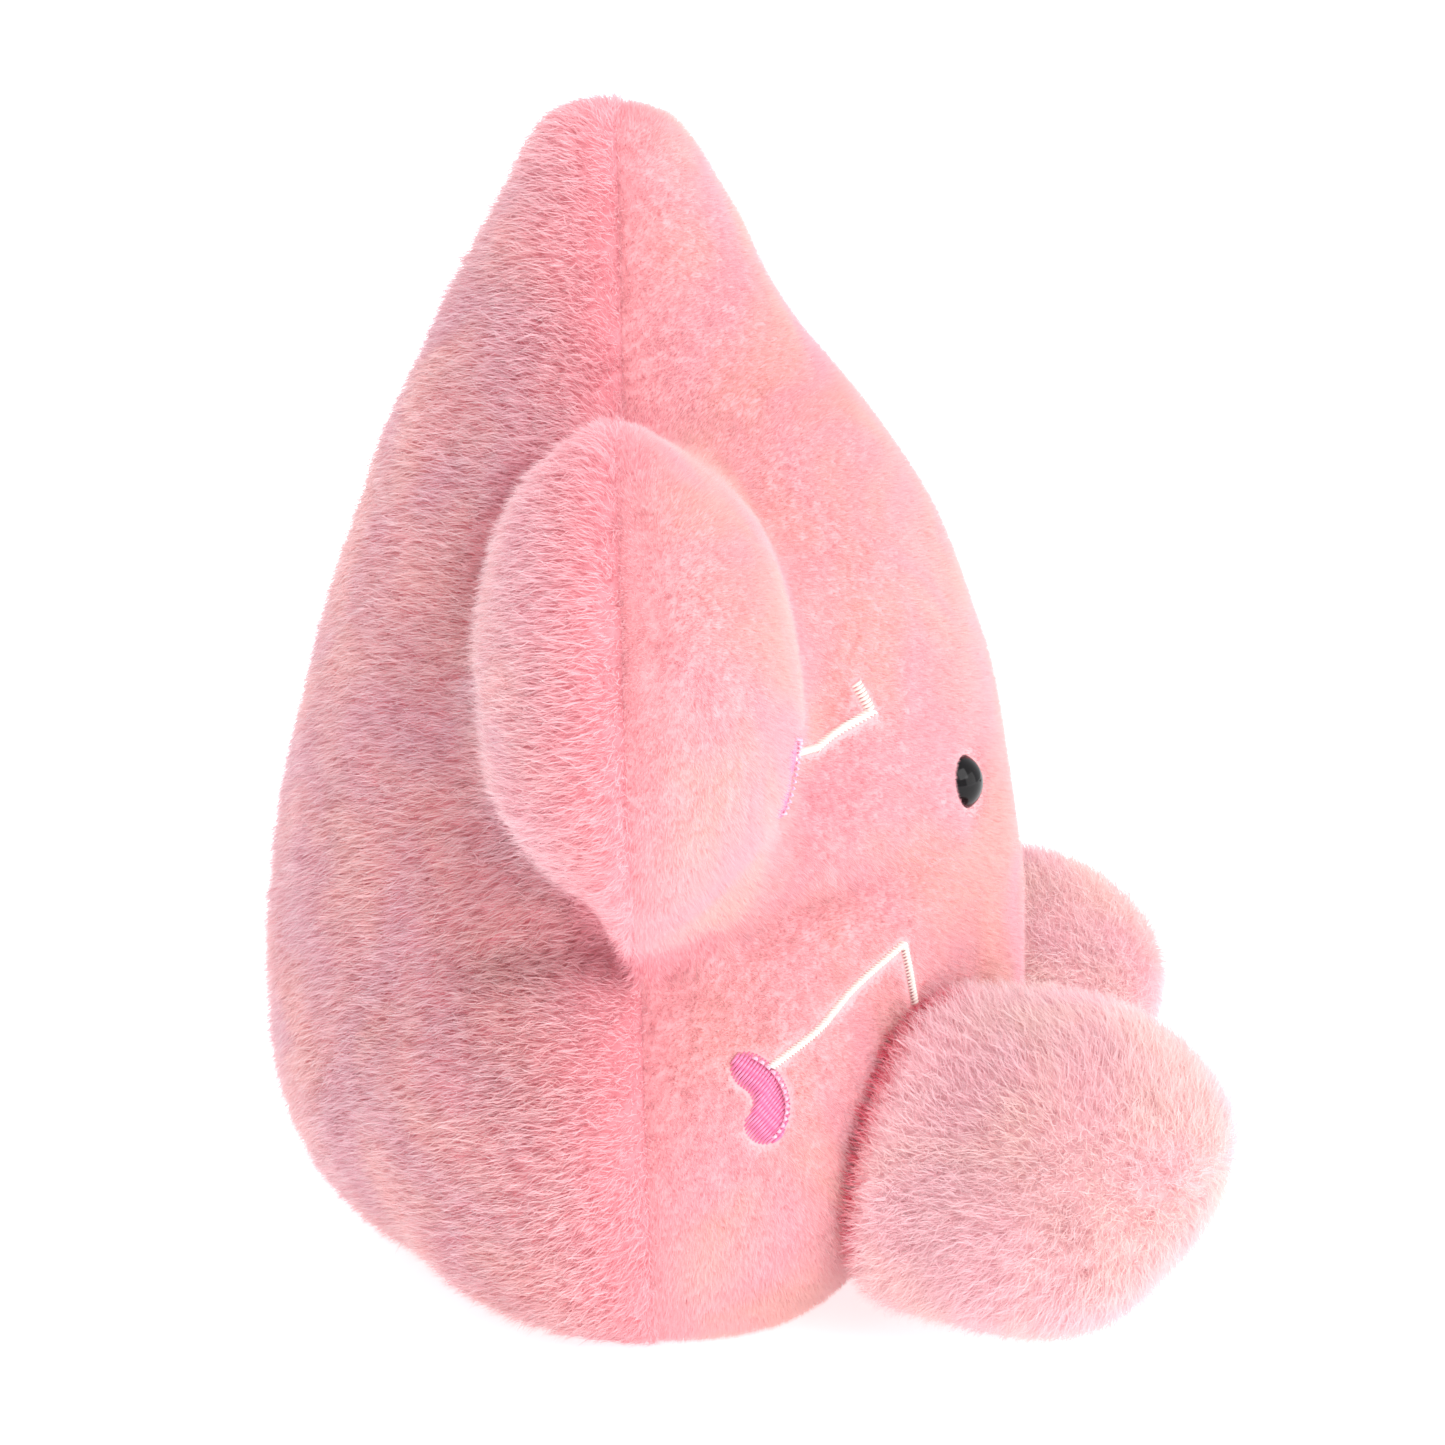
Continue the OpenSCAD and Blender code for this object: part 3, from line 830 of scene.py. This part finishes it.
for outer in panels.values():
    bpy.data.objects.remove(outer)

# ---------------------------------------------------------------------------------------------
# The two ball feet: circles of the long plush, gathered over fibre and sewn to the star by a
# ring of stitches.
# ---------------------------------------------------------------------------------------------
FOOT_PLACE = (28.5 * MM, -42 * MM + BODY_BACK, 17.5 * MM)
FOOT_HALF = (21 * MM, 20.5 * MM, 18 * MM)

# The feet are not sewn on quite alike. The filling has sunk to the lower outer back of each, and
# left its lower front flatter.
FOOT_SHIFT = {"right": (-1.0 * MM, -1.6 * MM, -0.2 * MM), "left": (-1.5 * MM, 0.3 * MM, -1.2 * MM)}
FOOT_SLUMP = 1.6 * MM
FOOT_TRIM = 4.0 * MM
FOOT_LUMP = 0.4 * MM
FOOT_INSET = 1.6 * MM
FOOT_SWELL = 0.8 * MM
FOOT_HELD_BACK = 9 * MM
FOOT_PILE = 4.0 * MM
FOOT_PER_MM2 = 14
FOOT_GAP = 0.35 * MM

# The ring that each foot is sewn to: the way that it faces, its place across and up, its radius.
# A flat ball of filling on the ring makes the neck by which the foot meets the star.
RING_FACING = math.radians(33)
RING_PLACE = (7.5, 17.5)
RING_RADIUS = 14.0
NECK_HALF = (17 * MM, 9 * MM, 16.5 * MM)
NECK_OUT = 2 * MM

foot_backing = backing_material("knitted backing of a foot", "#FFD8DD", "#FFDEDE")
foot_pile = pile_material("fluffed long acrylic pile", "#FFD8DD", "#FFDDE1", "#FFDFE4", "#FFE6E2",
                          "#FFF2F2", "#EE4F6E", 0.9, 0.3)


def follow_foot(piece):
    """Moves a foot's soft piece's placement into its points."""
    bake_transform(piece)


for number, (side_name, side) in enumerate(SIDES.items()):
    centre = np.array([side * FOOT_PLACE[0], FOOT_PLACE[1], FOOT_PLACE[2]]) + FOOT_SHIFT[side_name]
    half = tuple(h - FOOT_INSET for h in FOOT_HALF)
    foot = add_ball(tuple(centre), half)
    foot.name = side_name + "_foot_cloth"
    neck_places, neck_outward = sewn_places(RING_FACING, side, [RING_PLACE])
    neck = add_ball(tuple(neck_places[0] + NECK_OUT * neck_outward[0]), NECK_HALF, side * RING_FACING)
    use_only(foot)
    neck.select_set(True)
    bpy.ops.object.join()
    apply_modifier(foot, "REMESH", mode="VOXEL", voxel_size=SKIN_VOXEL)
    apply_modifier(foot, "SMOOTH", factor=0.5, iterations=14)
    spots = points_of(foot)
    swell(foot, spots[:, 1] > centre[1] + FOOT_HELD_BACK, FOOT_SWELL)
    apply_modifier(foot, "SUBSURF", levels=2, render_levels=2)
    spots = points_of(foot)
    lumps = wander(spots - centre, 7 * MM, 0.9 + number)
    spots += (FOOT_LUMP * lumps)[:, None] * normals_of(foot)
    slumped = normals_of(foot) @ unit(np.array([[side * 0.6, 0.4, -0.6]]))[0]
    spots += (FOOT_SLUMP * smooth_step((slumped - 0.5) / 0.5))[:, None] * normals_of(foot)
    lower_front = normals_of(foot) @ unit(np.array([[0, -0.75, -0.65]]))[0]
    spots -= (FOOT_TRIM * smooth_step((lower_front - 0.4) / 0.6))[:, None] * normals_of(foot)
    for i, spot in enumerate(spots):
        near, outward = star_tree.find_nearest(Vector(spot))[:2]
        if (Vector(spot) - near).dot(outward) < FOOT_GAP:
            spots[i] = near + outward * FOOT_GAP
    spots[:, 2] = np.maximum(spots[:, 2], SEAT_LIFT)
    move_points(foot, spots)
    bpy.ops.object.shade_smooth()

    rng = np.random.default_rng(21 + number)
    roots, up = sow(foot, FOOT_PER_MM2, rng)[:2]
    reach = np.array([star_tree.find_nearest(Vector(root))[3] for root in roots])
    free = reach > 0.45 * MM
    roots, up, reach = roots[free], up[free], reach[free]
    pole = unit(np.array([[side * 0.88, 0.0, 0.55]]))[0]
    from_pole = np.arccos(np.clip(unit(roots - centre) @ pole, -1, 1))
    flow = np.tile([0.0, 1.0, 0.15], (len(roots), 1)) - 0.5 * pole
    comb = turn_about(tangent(flow, up), up, 0.45 * wander(roots, 9 * MM, 1.4))
    lie = np.clip(0.3 + 0.2 * from_pole + 0.12 * wander(roots, 6 * MM, 0.3), 0.1, 0.7)
    near_seat = smooth_step(1 - roots[:, 2] / (4 * MM))
    length = FOOT_PILE * (0.5 + 0.5 * smooth_step((reach - 0.8 * MM) / (5 * MM)))
    length *= 0.3 + 0.7 * smooth_step(roots[:, 2] / (9 * MM))
    # Painted shade in the crease where the foot meets the star, which the pile shows as a darker red-pink.
    closed = 0.75 * (1 - smooth_step((reach - 0.5 * MM) / (4 * MM)))
    fur = grow(side_name + "_foot_pile", roots, up, closed, comb, length,
               np.clip(lie + 0.4 * near_seat, 0, 0.95), np.ones(len(roots)),
               (0.115 * MM, FOOT_PER_MM2, 0.32), (1.6 * MM, 0.12), foot_pile, rng)
    wear(foot, foot_backing)
    follow_foot(foot)
    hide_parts(side_name + "_foot_skin")
    follow_foot(fur)

# ---------------------------------------------------------------------------------------------
# The embroidery: rayon thread, laid in slanted satin stitches side by side. White lines run out
# to a pink crescent, which has a pale outline inside its bulging edge.
# ---------------------------------------------------------------------------------------------
STITCH_PITCH = 0.36
THREAD_RADIUS = 0.2 * MM
LINE_WIDTH = 1.0
STITCH_RISE = 0.45 * MM
CRESCENT_SLANT = math.radians(-38)
OUTLINE_OUT = 1.3
OUTLINE_RISE = STITCH_RISE + 0.35 * MM


def lay_stitches(name, starts, ends, outward, radius, rise):
    """Short threads from starts to ends, each one bowed up off the cloth and closed at its ends."""
    rings = 5
    sides = 6
    spots = []
    faces = []
    for start, end, up in zip(starts, ends, outward):
        run = unit(np.array([end - start]))[0]
        across = unit(np.cross([run], [up]))[0]
        first = len(spots)
        for ring in range(rings):
            share = ring / (rings - 1)
            centre = start + share * (end - start) + up * rise * math.sin(math.pi * share) ** 0.7
            girth = radius * (0.55 + 0.45 * math.sin(math.pi * share))
            for corner in range(sides):
                angle = 2 * math.pi * corner / sides
                spots.append(centre + girth * (math.cos(angle) * across + math.sin(angle) * up))
        for ring in range(rings - 1):
            for corner in range(sides):
                a = first + ring * sides + corner
                b = first + ring * sides + (corner + 1) % sides
                faces.append((a, b, b + sides, a + sides))
        last = first + (rings - 1) * sides
        faces.append(tuple(first + sides - 1 - corner for corner in range(sides)))
        faces.append(tuple(last + corner for corner in range(sides)))
    mesh = bpy.data.meshes.new(name)
    mesh.from_pydata([tuple(p) for p in spots], [], faces)
    mesh.update()
    piece = bpy.data.objects.new(name, mesh)
    bpy.context.collection.objects.link(piece)
    use_only(piece)
    bpy.ops.object.mode_set(mode="EDIT")
    bpy.ops.mesh.select_all(action="SELECT")
    bpy.ops.mesh.normals_make_consistent(inside=False)
    bpy.ops.object.mode_set(mode="OBJECT")
    bpy.ops.object.shade_smooth()
    return piece


# Rayon embroidery thread: twisted filaments with a silky shine, in fine slanting ridges, with painted
# shade darkening the grooves between the ridges.
def thread_material(name, base_hex, groove_shade_hex):
    material, tree, shader = new_material(name)
    shader.inputs["Roughness"].default_value = 0.42
    shader.inputs["Specular IOR Level"].default_value = 0.5
    shader.inputs["Sheen Weight"].default_value = 0.2
    twist = pattern(tree, "ShaderNodeTexWave", {"Scale": 900.0, "Distortion": 1.5, "Detail": 1.0})
    colour_by(tree, shader, twist.outputs["Fac"], groove_shade_hex, base_hex)
    raise_by(tree, shader, twist.outputs["Fac"], 0.35, 0.06 * MM)
    return material


white_thread = thread_material("white rayon thread", "#FFF8F0", "#F6E6DC")
pink_thread = thread_material("pink rayon thread", "#F48DB4", "#E8709F")
pale_thread = thread_material("pale pink rayon thread", "#FBD3E3", "#F2B4CD")
seam_thread = thread_material("pink sewing thread", "#E0607A", "#C8415F")


def along_line(points, pitch):
    """Places along a line of straight stretches, a pitch apart, with the line's direction."""
    places = []
    runs = []
    for start, end in zip(points[:-1], points[1:]):
        step = np.array(end, dtype=float) - np.array(start, dtype=float)
        reach = np.linalg.norm(step)
        count = max(1, round(reach / pitch))
        for i in range(count):
            places.append(np.array(start) + step * i / count)
            runs.append(step / reach)
    return np.array(places), np.array(runs)


def sew(name, facing, side, starts, ends, material, node, rise):
    """Lays stitches between flat places of a figure, on the star's cloth."""
    low, outward = sewn_places(facing, side, starts)
    high = sewn_places(facing, side, ends)[0]
    piece = lay_stitches(name, low, high, outward, THREAD_RADIUS, rise)
    wear(piece, material)
    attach(piece, "body")
    if node:
        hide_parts(node)


def crescent_crossings(at):
    """Slanted stitches that fill the crescent, from edge to edge, all along one slant."""
    half = CRESCENT_WIDTH / 2
    cap = 8
    points = []
    for way in (1, -1):
        for swing in CRESCENT_HALF_ANGLE * np.linspace(-1, 1, 25):
            reach = CRESCENT_RADIUS + way * half
            angle = math.pi + way * swing
            points.append((reach * math.cos(angle), reach * math.sin(angle)))
        turn = math.pi + way * CRESCENT_HALF_ANGLE
        end_x = CRESCENT_RADIUS * math.cos(turn)
        end_y = CRESCENT_RADIUS * math.sin(turn)
        for step in range(1, cap):
            angle = turn + math.pi * step / cap
            points.append((end_x + way * half * math.cos(angle), end_y + way * half * math.sin(angle)))
    points = np.array(points)
    slant = np.array([math.cos(CRESCENT_SLANT), math.sin(CRESCENT_SLANT)])
    level = np.array([-slant[1], slant[0]])
    heights = points @ level
    starts = []
    ends = []
    for height in np.arange(heights.min() + 0.15, heights.max() - 0.1, STITCH_PITCH * 0.85):
        crossings = []
        for i in range(len(points)):
            a, b = heights[i], heights[(i + 1) % len(points)]
            if (a - height) * (b - height) < 0:
                share = (height - a) / (b - a)
                crossings.append(points[i] + share * (points[(i + 1) % len(points)] - points[i]))
        crossings.sort(key=lambda p: p @ slant)
        for low, high in zip(crossings[::2], crossings[1::2]):
            starts.append(low + at)
            ends.append(high + at)
    return np.array(starts), np.array(ends)


for side_name, side in SIDES.items():
    for figure, facts in FIGURES.items():
        label = f"{side_name}_{figure}"
        middle, run = along_line(facts["line"], STITCH_PITCH)
        slant = 0.5 * run + 0.866 * np.column_stack([-run[:, 1], run[:, 0]])
        reach = 0.5 * LINE_WIDTH * slant
        sew(label + "_line_stitches", facts["facing"], side, middle - reach, middle + reach,
            white_thread, label + "_line", STITCH_RISE)
        at = np.array(facts["crescent"], dtype=float)
        starts, ends = crescent_crossings(at)
        sew(label + "_crescent_stitches", facts["facing"], side, starts, ends,
            pink_thread, label + "_crescent", STITCH_RISE)
        rim = []
        for step in range(15):
            angle = math.pi + CRESCENT_HALF_ANGLE * 1.1 * (step / 7 - 1)
            rim.append(at + (CRESCENT_RADIUS + OUTLINE_OUT) * np.array([math.cos(angle), math.sin(angle)]))
        rim = np.array(rim)
        sew(label + "_crescent_outline", facts["facing"], side, rim[:-1], rim[1:],
            pale_thread, None, OUTLINE_RISE)

# ---------------------------------------------------------------------------------------------
# The rings of stitches that sew the feet on. Pink thread is pulled tight in the crease between
# foot and star, and shows where the pile parts.
# ---------------------------------------------------------------------------------------------
RING_STITCHES = 52
RING_STITCH = 1.2
RING_RISE = 0.6 * MM

for side_name, side in SIDES.items():
    turns = np.arange(RING_STITCHES) * 2 * math.pi / RING_STITCHES
    spokes = np.column_stack([np.cos(turns), np.sin(turns)])
    inner = np.array(RING_PLACE) + (RING_RADIUS - RING_STITCH / 2) * spokes
    outer = np.array(RING_PLACE) + (RING_RADIUS + RING_STITCH / 2) * spokes
    low, outward = sewn_places(RING_FACING, side, inner)
    high = sewn_places(RING_FACING, side, outer)[0]
    ring = lay_stitches(side_name + "_foot_ring_stitches", low, high, outward, THREAD_RADIUS, RING_RISE)
    wear(ring, seam_thread)
    follow_foot(ring)
    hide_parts(side_name + "_foot_seam")

# ---------------------------------------------------------------------------------------------
# The eyes, with their washers, and everything inside the star: these keep the shapes that they
# have in the model of the toy, and get their finishes here.
# ---------------------------------------------------------------------------------------------


# Moulded acrylic bead: jet black, polished, with faint moulding haze.
eye_plastic, tree, shader = new_material("polished black acrylic")
shader.inputs["IOR"].default_value = 1.45
shader.inputs["Specular IOR Level"].default_value = 0.3
haze = pattern(tree, "ShaderNodeTexNoise", {"Scale": 600.0, "Detail": 2.0})
colour_by(tree, shader, haze.outputs["Fac"], "#050405", "#0E0A0C")
gloss = add(tree, "ShaderNodeMapRange", {"To Min": 0.05, "To Max": 0.14}, {"Value": haze.outputs["Fac"]})
tree.links.new(gloss.outputs[0], shader.inputs["Roughness"])

# Moulded polyethylene: milky, waxy and slightly grainy.
washer_plastic, tree, shader = new_material("milky polyethylene")
shader.inputs["Roughness"].default_value = 0.45
shader.inputs["Subsurface Weight"].default_value = 0.1
grain = pattern(tree, "ShaderNodeTexNoise", {"Scale": 900.0, "Detail": 3.0})
colour_by(tree, shader, grain.outputs["Fac"], "#E2E2DE", "#F2F2EE")

# Polyester fibre filling: white, matted and springy, in soft wads a few millimetres across, with
# painted shade greying the hollows between the wads.
fibre, tree, shader = new_material("white polyester fibre")
shader.inputs["Roughness"].default_value = 0.95
shader.inputs["Sheen Weight"].default_value = 0.4
wads = pattern(tree, "ShaderNodeTexNoise", {"Scale": 220.0, "Detail": 6.0, "Distortion": 2.0})
colour_by(tree, shader, wads.outputs["Fac"], "#DEDEDC", "#FBFBFA")
raise_by(tree, shader, wads.outputs["Fac"], 0.8, 1.0 * MM)

# Plain-woven cotton bag: ivory, with threads half a millimetre apart each way.
cotton, tree, shader = new_material("ivory plain-woven cotton")
shader.inputs["Roughness"].default_value = 0.85
slubs = pattern(tree, "ShaderNodeTexNoise", {"Scale": 300.0})
colour_by(tree, shader, slubs.outputs["Fac"], "#E6E0D2", "#F4EFE2")
weave = pattern(tree, "ShaderNodeTexChecker", {"Scale": 2000.0})
raise_by(tree, shader, weave.outputs["Fac"], 0.5, 0.15 * MM)

# Polypropylene pellets: pale satin beads about 2 mm across, drawn by cells of that size, each
# darkened towards its edge as painted shade in the gaps between the beads.
pellet, tree, shader = new_material("pale polypropylene pellets")
shader.inputs["Roughness"].default_value = 0.4
beads = pattern(tree, "ShaderNodeTexVoronoi", {"Scale": 500.0})
colour_by(tree, shader, beads.outputs["Distance"], "#F0F0EC", "#C9C9C4")
raise_by(tree, shader, beads.outputs["Distance"], 1.0, 1.0 * MM, invert=True)

for nodes, material in (
    (("right_eye", "left_eye"), eye_plastic),
    (("right_eye_washer", "left_eye_washer"), washer_plastic),
    (("body_stuffing", "right_foot_stuffing", "left_foot_stuffing"), fibre),
    (("pellet_bag",), cotton),
    (("pellets",), pellet),
    (("panel_seam", "closing_stitch"), seam_thread),
):
    for node in nodes:
        wear(bpy.data.objects[node], material)
